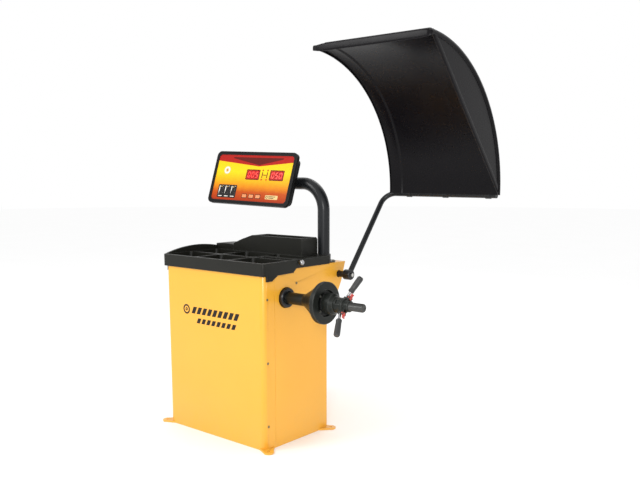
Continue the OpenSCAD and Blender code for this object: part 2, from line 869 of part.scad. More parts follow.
// The flat end wall: the part of the arc's disc outside its chord.
module hood_segment() {
    intersection() {
        circle(hood_r - 8, $fn = 180);
        polygon([
            polar(arc_start, hood_r - 8), polar(arc_start, 2 * hood_r), [2 * hood_r, 2 * hood_r],
            polar(arc_end, 2 * hood_r), polar(arc_end, hood_r - 8)
        ]);
    }
}

hood_run_dir = atan2(hood_run_z - pivot_z, hood_run_y - pivot_y);
hood_leg = norm([hood_run_y - pivot_y, hood_run_z - pivot_z]);
hood_run_end = hood_x1 - 30;

module hood_tube_solid(r) {
    translate([hood_tube_x, pivot_y, pivot_z]) rotate([hood_run_dir, 0, 0]) {
        translate([0, 21, 0]) rotate([-90, 0, 0]) cylinder(h = hood_leg - hood_bend_r - 21, r = r);
        translate([hood_bend_r, hood_leg - hood_bend_r, 0]) rotate([0, 0, 90])
            rotate_extrude(angle = 90, $fn = 96) translate([hood_bend_r, 0]) circle(r, $fn = 48);
        translate([hood_bend_r, hood_leg, 0]) rotate([0, 90, 0])
            cylinder(h = hood_run_end - hood_tube_x - hood_bend_r, r = r);
    }
}

module hood_tube() {
    color(black) difference() {
        hood_tube_solid(hood_tube_d / 2);
        translate([0, pivot_y, pivot_z]) ring_x(hw + 30, hw + 80, 0, 24);
    }
}

module hood_shaft() {
    color(dark_steel) translate([0, pivot_y, pivot_z]) {
        lathe_x([
            [255, 0], [255, hood_shaft_r], [hw + 38, hood_shaft_r], [hw + 38, 23],
            [hw + 40, 24], [hw + 72, 24], [hw + 75, 22], [hw + 75, 0]
        ]);
    }
}

module hood_stop_arm() {
    color(dark_steel) translate([0, pivot_y, pivot_z]) difference() {
        union() {
            ring_x(274, 294, hood_shaft_r, 21);
            rotate([stop_arm_angle, 0, 0]) translate([276, 16, -stop_arm_half])
                cube([16, 38, 2 * stop_arm_half]);
        }
        ring_x(270, 298, 0, hood_shaft_r);
    }
}

module hood_brackets() {
    color(dark_steel) difference() {
        for (x = bracket_x) along_x(x, bracket_t) polygon([
            [pivot_y - 46, pivot_z - 52], [pivot_y - 2, pivot_z - 52], [pivot_y + 22, pivot_z + 2],
            [pivot_y + 22, panel_top_z - 0.2], [pivot_y - 46, panel_top_z - 0.2]
        ]);
        translate([0, pivot_y, pivot_z]) ring_x(200, 310, 0, hood_shaft_r + fit_gap);
    }
}

module hood_stop() {
    color("dimgray") for (p = [stop_bar(stop_arm_angle, -1), stop_bar(stop_arm_angle + hood_swing, 1)])
        along_x(bracket_x[0] + bracket_t, bracket_x[1] - bracket_x[0] - bracket_t)
            translate(p) circle(stop_bar_r);
}

clamp_x = [hood_x0 + 90, hood_x0 + hood_w / 2, hood_x1 - 70];
clamp_w = 24;
clamp_tab_y = arc_y + hood_r + hood_step;

module hood_clamps() {
    r = hood_tube_d / 2;
    color(dark_steel) for (x = clamp_x) difference() {
        union() {
            along_x(x - clamp_w / 2, clamp_w) translate([hood_run_y, hood_run_z]) circle(r + clamp_t);
            translate([x - clamp_w / 2, clamp_tab_y + 0.2, hood_run_z])
                cube([clamp_w, 3.5, 62]);
        }
        along_x(x - clamp_w, 2 * clamp_w) translate([hood_run_y, hood_run_z]) circle(r);
    }
}

module hood_bolts() {
    color(zinc) {
        for (x = clamp_x, z = [hood_run_z + 34, hood_run_z + 52])
            translate([x, clamp_tab_y + 3.7, z]) rotate([-90, 0, 0]) cylinder(h = 5, r = 6, $fn = 6);
        translate([hw + 75, pivot_y, pivot_z]) rotate([0, 90, 0]) cylinder(h = 7, r = 9, $fn = 6);
    }
}

// ---------- display post and head ----------

module post_solid(r) {
    translate([post_x, post_y, post_bottom_z])
        cylinder(h = post_top_z - post_bend_r - post_bottom_z, r = r);
    translate([post_x - post_bend_r, post_y, post_top_z - post_bend_r]) rotate([90, 0, 0])
        rotate_extrude(angle = 90, $fn = 96) translate([post_bend_r, 0]) circle(r, $fn = 64);
    translate([post_end_x, post_y, post_top_z]) rotate([0, 90, 0])
        cylinder(h = post_x - post_bend_r - post_end_x, r = r);
}

module display_post() {
    color(black) union() {
        post_solid(post_r);
        translate([post_end_x - 4, post_y, post_top_z]) rotate([0, 90, 0]) cylinder(h = 4, r = post_r - 2);
    }
}

module post_socket() {
    color(black) difference() {
        translate([post_x, post_y, 0]) rotate_extrude($fn = 96) polygon([
            [0, deck_z], [socket_r, deck_z], [socket_r, deck_z + socket_t], [post_r + 5, deck_z + socket_t],
            [post_r + 5, tray_rim_z - 1], [post_r + 4, tray_rim_z], [post_r + fit_gap, tray_rim_z],
            [post_r + fit_gap, deck_z + socket_t], [0, deck_z + socket_t]
        ]);
        for (p = socket_screws) translate(p + [0, 0, deck_z - 1]) cylinder(h = 20, r = 3.2);
    }
}

grip_x = [-150, -60];
grip_w = 24;

module head_bracket() {
    r = post_r;
    color(dark_steel) difference() {
        union() {
            for (x = grip_x) along_x(x - grip_w / 2, grip_w) translate([post_y, post_top_z]) circle(r + 6);
            for (x = grip_x) translate([x - grip_w / 2, post_y - r - 45, post_top_z - 14])
                cube([grip_w, 44 + 5, 28]);
            intersection() {
                head_frame() head_plate(190, 90, 8, head_depth + 0.2, head_depth + 5);
                translate([-400, 0, 1000]) cube([700, post_y - r - 4, 300]);
            }
        }
        head_frame() translate([-400, -200, -300]) cube([800, 200 + head_depth + 0.2, 600]);
        translate([0, post_y, post_top_z]) ring_x(-300, 0, 0, r + fit_gap);
    }
}

module display_housing() {
    color(black) head_frame() difference() {
        union() {
            head_plate(head_w, head_h, head_r, 0, frame_depth);
            head_plate(head_w - 36, head_h - 36, head_r - 5, frame_depth, head_depth);
        }
        head_plate(head_w - 2 * bezel, head_h - 2 * bezel, head_r - 8, -1, overlay_y + overlay_t);
        head_plate(head_w - 2 * bezel - 12, head_h - 2 * bezel - 12, head_r - 14, overlay_y, head_depth - 3);
    }
}

module key_holes(grow, y0, y1) {
    for (x = key_x) translate([x, 0, key_z])
        head_plate(key_size[0] + 2 * grow, key_size[1] + 2 * grow, 3, y0, y1);
}

module display_overlay() {
    color([0.95, 0.70, 0.15]) head_frame() difference() {
        head_plate(
            head_w - 2 * bezel - 0.6, head_h - 2 * bezel - 0.6, head_r - 8, overlay_y, overlay_y + overlay_t
        );
        for (x = window_x) translate([x, 0, window_z])
            head_plate(window_size[0] + 0.6, window_size[1] + 0.6, 3, -1, 20);
        key_holes(0.3, -1, 20);
    }
}

module led_windows() {
    color(red) head_frame() for (x = window_x) translate([x, 0, window_z])
        head_plate(window_size[0], window_size[1], 3, overlay_y + 0.4, overlay_y + 14);
}

module display_board() {
    color(board_green) head_frame()
        head_plate(420, 190, 6, overlay_y + 14.2, overlay_y + 15.8);
}

module display_key(i) {
    color([0.93, 0.55, 0.20]) head_frame() translate([key_x[i], 0, key_z])
        head_plate(key_size[0], key_size[1], 2.8, overlay_y - key_proud, overlay_y + 7);
}

module key_start() {
    display_key(1);
}

module key_stop() {
    display_key(0);
}

module key_mode() {
    display_key(2);
}

base_plate();
front_cover();
right_side_panel();
left_side_panel();
rear_panel();
top_deck();
panel_screws();
weight_tray();
tool_shelf();
spindle_column();
spindle_housing();
spindle_collar();
bearing_outer_rings();
piezo_sensors();
sensor_bolts();
motor_body();
motor_bracket();
drive_belt();
encoder_sensor();
power_board();
mains_inlet();
post_socket();
hood_brackets();
hood_stop();
gauge_guide();
mains_switch();
main_shaft();
wheel_flange();
flange_screws();
driven_pulley();
encoder_disc();
bearing_inner_rings();
bearing_balls();
shaft_lock_nut();
motor_pulley();
pressure_cup();
cup_rubber_ring();
nut_body();
nut_handles();
handle_grips();
release_lever_upper();
release_lever_lower();
thread_jaw_upper();
thread_jaw_lower();
hood_shell();
hood_tube();
hood_shaft();
hood_clamps();
hood_bolts();
hood_stop_arm();
display_post();
head_bracket();
display_housing();
display_overlay();
led_windows();
display_board();
key_start();
key_stop();
key_mode();
gauge_rod();
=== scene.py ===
# Looks of the wheel balancer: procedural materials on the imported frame, with finer pieces where the
# frame is plain: the threaded shaft, the display's printed film and read-outs, the wheel hood and the
# graphic on the front cover.
import json
import math

import bmesh
import bpy
from mathutils import Matrix, Vector

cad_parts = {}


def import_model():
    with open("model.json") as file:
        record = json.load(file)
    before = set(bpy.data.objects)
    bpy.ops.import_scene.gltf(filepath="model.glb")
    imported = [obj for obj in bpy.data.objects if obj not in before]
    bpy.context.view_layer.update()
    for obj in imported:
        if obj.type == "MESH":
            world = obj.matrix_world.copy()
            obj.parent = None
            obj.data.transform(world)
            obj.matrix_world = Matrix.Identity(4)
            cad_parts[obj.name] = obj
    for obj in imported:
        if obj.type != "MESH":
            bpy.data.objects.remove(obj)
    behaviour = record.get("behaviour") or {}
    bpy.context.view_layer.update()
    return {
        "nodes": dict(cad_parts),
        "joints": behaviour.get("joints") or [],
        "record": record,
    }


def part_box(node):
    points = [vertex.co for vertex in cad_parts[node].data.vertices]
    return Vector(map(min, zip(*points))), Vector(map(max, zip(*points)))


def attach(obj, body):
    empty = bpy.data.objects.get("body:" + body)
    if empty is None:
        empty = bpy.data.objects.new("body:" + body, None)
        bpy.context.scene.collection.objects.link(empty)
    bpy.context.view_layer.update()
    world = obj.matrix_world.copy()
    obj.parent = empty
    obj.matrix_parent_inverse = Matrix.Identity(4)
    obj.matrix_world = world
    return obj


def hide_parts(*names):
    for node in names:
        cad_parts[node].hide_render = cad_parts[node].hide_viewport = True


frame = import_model()
nodes = frame["nodes"]
joints = {j["name"]: j for j in frame["joints"]}

SPINDLE = Vector(joints["spindle_spin"]["pos_m"])
HALF_D = -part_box("front_cover")[0][1]
mm = 0.001


# ---------- material tools ----------

class Nodes:
    """A small helper for building one material's node tree."""

    def __init__(self, name):
        self.mat = bpy.data.materials.new(name)
        self.mat.use_nodes = True
        self.tree = self.mat.node_tree
        self.shader = self.tree.nodes["Principled BSDF"]
        self.coords = self.tree.nodes.new("ShaderNodeTexCoord").outputs["Object"]

    def add(self, kind, **inputs):
        node = self.tree.nodes.new(kind)
        for key, value in inputs.items():
            self.feed(node, key, value)
        return node

    def feed(self, node, key, value):
        socket = node.inputs[int(key[1:])] if key[0] == "i" and key[1:].isdigit() else node.inputs[key]
        if isinstance(value, bpy.types.NodeSocket):
            self.tree.links.new(value, socket)
        else:
            socket.default_value = value

    def set(self, **values):
        for key, value in values.items():
            self.feed(self.shader, key.replace("_", " "), value)

    def noise(self, scale, detail=4.0, rough=0.55, stretch=None):
        vector = self.coords
        if stretch:
            vector = self.add("ShaderNodeMapping", Vector=self.coords, Scale=stretch).outputs[0]
        node = self.add("ShaderNodeTexNoise", Vector=vector, Scale=scale, Detail=detail, Roughness=rough)
        return node.outputs["Fac"]

    def ramp(self, fac, stops):
        node = self.add("ShaderNodeValToRGB", Fac=fac)
        ramp = node.color_ramp
        while len(ramp.elements) < len(stops):
            ramp.elements.new(0.5)
        for element, (place, colour) in zip(ramp.elements, stops):
            element.position = place
            element.color = colour if len(colour) == 4 else (*colour, 1)
        return node.outputs["Color"]

    def math(self, op, a, b=0.0, c=0.0):
        node = self.add("ShaderNodeMath", i0=a, i1=b, i2=c)
        node.operation = op
        return node.outputs[0]

    def mix(self, fac, a, b):
        node = self.tree.nodes.new("ShaderNodeMix")
        node.data_type = "RGBA"
        for index, value in ((0, fac), (6, a), (7, b)):
            if isinstance(value, bpy.types.NodeSocket):
                self.tree.links.new(value, node.inputs[index])
            else:
                node.inputs[index].default_value = value if index == 0 else (*value[:3], 1)
        return node.outputs[2]

    def between(self, fac, low, high):
        node = self.add("ShaderNodeMapRange", Value=fac)
        node.inputs["To Min"].default_value = low
        node.inputs["To Max"].default_value = high
        return node.outputs[0]

    def bump(self, height, strength, distance):
        node = self.add("ShaderNodeBump", Height=height, Strength=strength, Distance=distance)
        self.tree.links.new(node.outputs[0], self.shader.inputs["Normal"])

    def edges(self, radius=0.003, sharp=0.12):
        """1 along convex edges, 0 on flat faces, broken up by noise: edge wear, and a painted edge
        highlight on the yellow paint and the hood.
        """
        bevel = self.add("ShaderNodeBevel", Radius=radius)
        bevel.samples = 4
        geo = self.add("ShaderNodeNewGeometry")
        dot = self.tree.nodes.new("ShaderNodeVectorMath")
        dot.operation = "DOT_PRODUCT"
        self.tree.links.new(bevel.outputs[0], dot.inputs[0])
        self.tree.links.new(geo.outputs["Normal"], dot.inputs[1])
        edge = self.math("SUBTRACT", 1.0, dot.outputs["Value"])
        edge = self.math("DIVIDE", edge, sharp)
        return self.math("MULTIPLY", self.math("MINIMUM", edge, 1.0), self.noise(35, 6))


def speckled(name, dark, light, rough=(0.35, 0.5), grain=400, grain_depth=0.0002, metallic=0.0,
             wear=None, wear_amount=0.5, coat=0.0, specular=0.5, blotch=9, strength=0.3):
    """A painted, moulded or cast finish: two tones in soft blotches, fine grain, worn edges."""
    n = Nodes(name)
    colour = n.mix(n.between(n.noise(blotch), 0.15, 0.85), dark, light)
    roughness = n.between(n.noise(blotch * 3), rough[0], rough[1])
    if wear:
        edge_wear_and_highlight = n.math("MULTIPLY", n.edges(), wear_amount)
        colour = n.mix(edge_wear_and_highlight, colour, wear)
    n.set(Base_Color=colour, Roughness=roughness, Metallic=metallic)
    n.shader.inputs["Coat Weight"].default_value = coat
    n.shader.inputs["Coat Roughness"].default_value = 0.12
    n.shader.inputs["Specular IOR Level"].default_value = specular
    n.bump(n.noise(grain, 3), strength, grain_depth)
    return n.mat


def turned(name, dark, light, rough=(0.2, 0.35), line=900, axis=0, metallic=1.0):
    """Machined metal with fine lathe lines across the axis and slight stains."""
    n = Nodes(name)
    stretch = [0.02, 0.02, 0.02]
    stretch[axis] = 1.0
    lines = n.noise(line, 2, stretch=tuple(stretch))
    stains = n.noise(14, 5)
    colour = n.mix(n.between(stains, 0.1, 0.9), dark, light)
    n.set(Base_Color=colour, Metallic=metallic, Roughness=n.between(lines, rough[0], rough[1]))
    n.bump(lines, 0.15, 0.0001)
    return n.mat


# ---------- materials ----------

def yellow_paint():
    """Powder coat: warm yellow, faint orange peel, a little dust near the floor, a painted highlight along
    the edges.
    """
    n = Nodes("yellow_powder_coat")
    height = n.add("ShaderNodeSeparateXYZ", Vector=n.coords).outputs["Z"]
    base = n.mix(n.between(n.noise(5), 0.2, 0.8), (0.80, 0.37, 0.022), (0.87, 0.43, 0.030))
    low = n.math("SUBTRACT", 1.0, n.math("MINIMUM", n.math("MULTIPLY", height, 4.0), 1.0))
    dust = n.math("MULTIPLY", low, n.between(n.noise(22, 6), 0.0, 0.30))
    base = n.mix(dust, base, (0.55, 0.36, 0.12))
    # Painted highlight: the convex edges are painted a lighter, warmer yellow, as if lit.
    edge_wear_and_highlight = n.math("MULTIPLY", n.edges(0.002), 0.35)
    colour = n.mix(edge_wear_and_highlight, base, (0.95, 0.62, 0.16))
    n.set(Base_Color=colour, Roughness=n.between(n.noise(16), 0.30, 0.42))
    n.shader.inputs["Coat Weight"].default_value = 0.25
    n.shader.inputs["Coat Roughness"].default_value = 0.15
    n.bump(n.noise(260, 2), 0.12, 0.0002)
    return n.mat


def hood_plastic():
    """Vacuum-formed glossy black sheet with fine dust and swirls, and a painted grey highlight along its
    edges.
    """
    n = Nodes("hood_gloss_black")
    dust = n.between(n.noise(30, 8, 0.7), 0.0, 0.25)
    swirl = n.noise(14, 5)
    colour = n.mix(dust, (0.0025, 0.002, 0.003), (0.012, 0.011, 0.012))
    # Painted highlight: the convex edges of the black sheet are painted grey, as if lit.
    edge_wear_and_highlight = n.math("MULTIPLY", n.edges(0.003), 0.5)
    colour = n.mix(edge_wear_and_highlight, colour, (0.12, 0.12, 0.12))
    n.set(Base_Color=colour, Roughness=n.between(swirl, 0.20, 0.34))
    n.shader.inputs["Specular IOR Level"].default_value = 0.12
    n.bump(n.noise(6, 1), 0.10, 0.003)
    return n.mat


GREY_EDGE = (0.16, 0.16, 0.16)
MATERIALS = {
    "paint": yellow_paint(),
    "tray_plastic": speckled("tray_textured_plastic", (0.005, 0.005, 0.004), (0.014, 0.014, 0.010),
                             (0.36, 0.5), grain=700, grain_depth=0.0005, wear=GREY_EDGE, wear_amount=0.45,
                             specular=0.22),
    "hood_plastic": hood_plastic(),
    "black_plastic": speckled("black_moulded_plastic", (0.004, 0.004, 0.004), (0.009, 0.009, 0.009),
                              (0.32, 0.45), wear=GREY_EDGE, wear_amount=0.4, specular=0.08),
    "black_paint": speckled("black_powder_coat", (0.005, 0.006, 0.007), (0.013, 0.014, 0.016),
                            (0.26, 0.38), grain=300, wear=(0.2, 0.2, 0.2), wear_amount=0.35, specular=0.3),
    "dark_steel": speckled("dark_cast_steel", (0.006, 0.007, 0.006), (0.016, 0.019, 0.016), (0.30, 0.45),
                           grain=220, grain_depth=0.0004, metallic=0.2, wear=(0.30, 0.30, 0.28),
                           wear_amount=0.5, specular=0.25),
    "bright_steel": turned("turned_steel", (0.34, 0.34, 0.35), (0.56, 0.56, 0.57)),
    "zinc": speckled("zinc_plate", (0.50, 0.50, 0.48), (0.66, 0.65, 0.60), (0.25, 0.42), grain=200,
                     metallic=1.0),
    "rubber": speckled("black_rubber", (0.006, 0.006, 0.006), (0.014, 0.014, 0.014), (0.6, 0.75),
                       grain=900, grain_depth=0.0004, specular=0.2),
    "grip_plastic": speckled("grey_grip_plastic", (0.020, 0.020, 0.020), (0.042, 0.042, 0.042), (0.3, 0.45),
                             grain=600, wear=(0.22, 0.22, 0.22), specular=0.4),
    "red_plastic": speckled("red_moulded_plastic", (0.42, 0.018, 0.012), (0.58, 0.035, 0.022), (0.3, 0.42),
                            grain=500, wear=(0.75, 0.22, 0.16), coat=0.2),
    "brass": turned("brass", (0.48, 0.30, 0.10), (0.66, 0.46, 0.18)),
    "circuit_board": speckled("green_board", (0.02, 0.12, 0.045), (0.03, 0.18, 0.07), (0.3, 0.4), coat=0.4),
    "overlay_film": speckled("key_film", (0.58, 0.15, 0.022), (0.68, 0.22, 0.03), (0.28, 0.36), coat=0.3),
    "led_glass": speckled("red_window", (0.34, 0.006, 0.006), (0.44, 0.008, 0.008), (0.20, 0.28),
                          grain_depth=0.0, specular=0.12),
}


def assign(obj, material):
    obj.data.materials.clear()
    obj.data.materials.append(material)


def soften(obj, width, segments=2):
    """Rounds a hard CAD edge for the light, without changing the part's own vertices."""
    weld = obj.modifiers.new("weld", "WELD")
    weld.merge_threshold = 0.00002
    bevel = obj.modifiers.new("bevel", "BEVEL")
    bevel.width = width
    bevel.segments = segments
    bevel.limit_method = "ANGLE"
    bevel.angle_limit = math.radians(40)
    bevel.harden_normals = False


DULL_ZINC = speckled("dull_zinc_screw", (0.16, 0.13, 0.07), (0.26, 0.22, 0.13), (0.35, 0.5), grain=200,
                     metallic=0.8, blotch=60)
SLOT_OF = {s["node"]: s["material_slot"] for s in frame["record"]["subparts"]}
for name, obj in nodes.items():
    assign(obj, MATERIALS[SLOT_OF[name]])
assign(nodes["panel_screws"], DULL_ZINC)

# Radii of the moulded and folded edges, in millimetres
EDGE_ROUND = {"weight_tray": 2.5, "tool_shelf": 4, "display_housing": 2.5,
              "front_cover": 0.6, "right_side_panel": 0.6, "left_side_panel": 0.6, "base_plate": 1,
              "nut_body": 0.8, "mains_inlet": 0.6}
for name, radius in EDGE_ROUND.items():
    soften(nodes[name], radius * mm)


# ---------- piece tools ----------

def finish_piece(obj, body, slot_name, material=None, replaced=()):
    """Puts the material on a new piece, the slot's own material unless another is given, and rides it on
    its body.
    """
    assign(obj, material or MATERIALS[slot_name])
    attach(obj, body)
    if replaced:
        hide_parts(*replaced)
    return obj


def mesh_object(name, bm, smooth=True):
    mesh = bpy.data.meshes.new(name)
    bmesh.ops.recalc_face_normals(bm, faces=bm.faces)
    bm.to_mesh(mesh)
    bm.free()
    for face in mesh.polygons:
        face.use_smooth = smooth
    obj = bpy.data.objects.new(name, mesh)
    bpy.context.scene.collection.objects.link(obj)
    return obj


def lathe(name, rings, spin=64):
    """A closed solid of revolution about X from (x, radius) pairs, with radius as a function allowed."""
    bm = bmesh.new()
    loops = []
    for x, radius in rings:
        loop = []
        for i in range(spin):
            a = math.tau * i / spin
            r = radius(a) if callable(radius) else radius
            loop.append(bm.verts.new((x, r * math.cos(a), r * math.sin(a))))
        loops.append(loop)
    for one, two in zip(loops, loops[1:]):
        for i in range(spin):
            j = (i + 1) % spin
            bm.faces.new((one[i], one[j], two[j], two[i]))
    bm.faces.new(loops[0])
    bm.faces.new(list(reversed(loops[-1])))
    return mesh_object(name, bm)


def rounded_outline(w, h, r, steps=6):
    """Corner points of a rounded rectangle about the origin, anticlockwise."""
    points = []
    for k, (sx, sy) in enumerate(((1, 1), (-1, 1), (-1, -1), (1, -1))):
        for i in range(steps + 1):
            a = math.radians(90 * k + 90 * i / steps)
            points.append((sx * (w / 2 - r) + r * math.cos(a), sy * (h / 2 - r) + r * math.sin(a)))
    return points


def flat_shape(name, loops, thickness, bevel=0.0):
    """A flat plate in local XZ, facing -Y, from closed outlines: holes are outlines inside others."""
    curve = bpy.data.curves.new(name, "CURVE")
    curve.dimensions = "2D"
    curve.fill_mode = "BOTH"
    curve.extrude = max(thickness / 2 - bevel, 0.00001)
    curve.bevel_depth = bevel
    curve.bevel_resolution = 2
    for loop in loops:
        spline = curve.splines.new("POLY")
        spline.points.add(len(loop) - 1)
        for point, (x, y) in zip(spline.points, loop):
            point.co = (x, y, 0, 1)
        spline.use_cyclic_u = True
    temp = bpy.data.objects.new(name, curve)
    bpy.context.scene.collection.objects.link(temp)
    bpy.context.view_layer.update()
    mesh = bpy.data.meshes.new_from_object(temp.evaluated_get(bpy.context.evaluated_depsgraph_get()))
    bpy.data.objects.remove(temp)
    mesh.transform(Matrix.Rotation(math.radians(90), 4, "X"))
    bm = bmesh.new()
    bm.from_mesh(mesh)
    bmesh.ops.remove_doubles(bm, verts=bm.verts, dist=0.000002)
    return mesh_object(name, bm, smooth=False)


def circle_outline(r, steps=32, x=0.0, y=0.0):
    return [(x + r * math.cos(math.tau * i / steps), y + r * math.sin(math.tau * i / steps))
            for i in range(steps)]


# ---------- threaded spindle ----------

PITCH = 3 * mm
THREAD_DEPTH = 1.4 * mm
WIND = 48


def threaded_shaft():
    """The wheel shaft with a real helical thread over its bare length, from the flange to its end."""
    low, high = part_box("main_shaft")
    start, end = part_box("wheel_flange")[1].x - 9 * mm, high.x
    major = 18 * mm
    chamfer = 3 * mm
    per_turn = 6
    rows = int((end - start - chamfer) / PITCH * per_turn)
    rings = [(low.x, 14 * mm), (low.x + 2 * mm, 15 * mm), (low.x + 14 * mm, 15 * mm),
             (low.x + 14.1 * mm, 17.4 * mm), (start - 40 * mm, 17.4 * mm), (start - 1.9 * mm, 17.4 * mm)]

    def groove(x):
        def radius(a):
            phase = ((x - start) / PITCH - a / math.tau) % 1.0
            tooth = abs(2 * phase - 1)
            fade = min(1.0, (x - start) / (2 * PITCH))
            return major - THREAD_DEPTH * fade * min(1.0, max(0.0, 1.35 * tooth - 0.2))
        return radius

    rings += [(start + k * PITCH / per_turn, groove(start + k * PITCH / per_turn)) for k in range(rows + 1)]
    rings += [(end - 0.6 * mm, major - 2.6 * mm), (end, major - 4 * mm), (end, 5 * mm),
              (end - 6 * mm, 3 * mm)]
    obj = lathe("threaded_shaft", rings, WIND)
    obj.location = (0, SPINDLE.y, SPINDLE.z)
    oiled = turned("oiled_thread_steel", (0.045, 0.046, 0.045), (0.13, 0.13, 0.125), (0.24, 0.42))
    return finish_piece(obj, "spindle", "bright_steel", oiled, ("main_shaft",))


threaded_shaft()


# ---------- display overlay ----------

def centre(name):
    low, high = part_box(name)
    return (low + high) / 2


def head_matrix():
    """The display's own frame: X right along its face, Y into it, Z up, from the key and overlay nodes."""
    right = (centre("key_start") - centre("key_mode")).normalized()
    inward = Vector(joints["key_start_press"]["axis"]).normalized()
    up = right.cross(inward)
    origin = centre("display_overlay") - inward * 3.5 * mm
    matrix = Matrix((right, inward, up)).transposed().to_4x4()
    matrix.translation = origin
    return matrix


HEAD = head_matrix()


def on_head(obj, depth, u=0.0, v=0.0):
    """Places a flat shape drawn about its own origin on the display, depth metres in from the face."""
    obj.matrix_world = HEAD @ Matrix.Translation((u, depth, v))
    return obj


OVERLAY_FRONT = 2.5 * mm
LED_FACE = OVERLAY_FRONT + 0.4 * mm


# The printed film, in metres from the face's centre
FILM_W = 465.4 * mm
FILM_H = 230.4 * mm
WINDOWS = ((3 * mm, 18 * mm), (149 * mm, 18 * mm))
WINDOW = (76 * mm, 43 * mm)
KEYS = ("key_mode", "key_start", "key_stop")
INK = 0.12 * mm


def head_local(point):
    """A frame point in the display's own frame."""
    return HEAD.inverted() @ point


def film_print(name):
    """Printed film: yellow at the top running down to orange red, with a faint halftone grain."""
    n = Nodes(name)
    height = n.add("ShaderNodeSeparateXYZ", Vector=n.coords).outputs["Z"]
    fade = n.add("ShaderNodeMapRange", Value=height)
    fade.inputs["From Min"].default_value = -0.115
    fade.inputs["From Max"].default_value = 0.085
    fade = n.math("ADD", fade.outputs[0], n.between(n.noise(30, 3), -0.04, 0.04))
    colour = n.ramp(fade, [(0.0, (0.34, 0.030, 0.006)), (0.22, (0.48, 0.075, 0.008)),
                           (0.45, (0.80, 0.33, 0.010)), (0.72, (0.86, 0.58, 0.012)),
                           (1.0, (0.84, 0.52, 0.010))])
    n.set(Base_Color=colour, Roughness=n.between(n.noise(120), 0.24, 0.34))
    n.shader.inputs["Specular IOR Level"].default_value = 0.06
    n.bump(n.noise(900, 2), 0.08, 0.0001)
    return n.mat


def ink(name, colour, rough=0.32):
    lighter = tuple(min(1.0, 1.25 * c + 0.01) for c in colour)
    return speckled(name, colour, lighter, (rough, rough + 0.08), grain=800, blotch=40, specular=0.05)


def shifted(loop, u, v):
    return [(x + u, y + v) for x, y in loop]


def display_film():
    loops = [rounded_outline(FILM_W, FILM_H, 17 * mm)]
    loops += [shifted(rounded_outline(WINDOW[0] + 0.6 * mm, WINDOW[1] + 0.6 * mm, 3 * mm), *w)
              for w in WINDOWS]
    for key in KEYS:
        spot = head_local(centre(key))
        loops.append(shifted(rounded_outline(26.6 * mm, 16.6 * mm, 3 * mm), spot.x, spot.z))
    film = on_head(flat_shape("display_film", loops, 2 * mm), OVERLAY_FRONT + 1 * mm)
    finish_piece(film, "head", "overlay_film", film_print("printed_film"), ("display_overlay",))


def printed(name, loops, material, layer=1):
    """Ink on the film: a layer thinner than paper, standing on its front."""
    shape = flat_shape(name, loops, INK)
    on_head(shape, OVERLAY_FRONT - (layer - 0.5) * INK)
    return finish_piece(shape, "head", "overlay_film", material)


def bar(u, v, w, h, r=0.0):
    if r:
        return shifted(rounded_outline(w, h, r), u, v)
    return [(u - w / 2, v - h / 2), (u + w / 2, v - h / 2), (u + w / 2, v + h / 2), (u - w / 2, v + h / 2)]


def ring(u, v, outer, inner):
    return [circle_outline(outer, 32, u, v), circle_outline(inner, 32, u, v)]


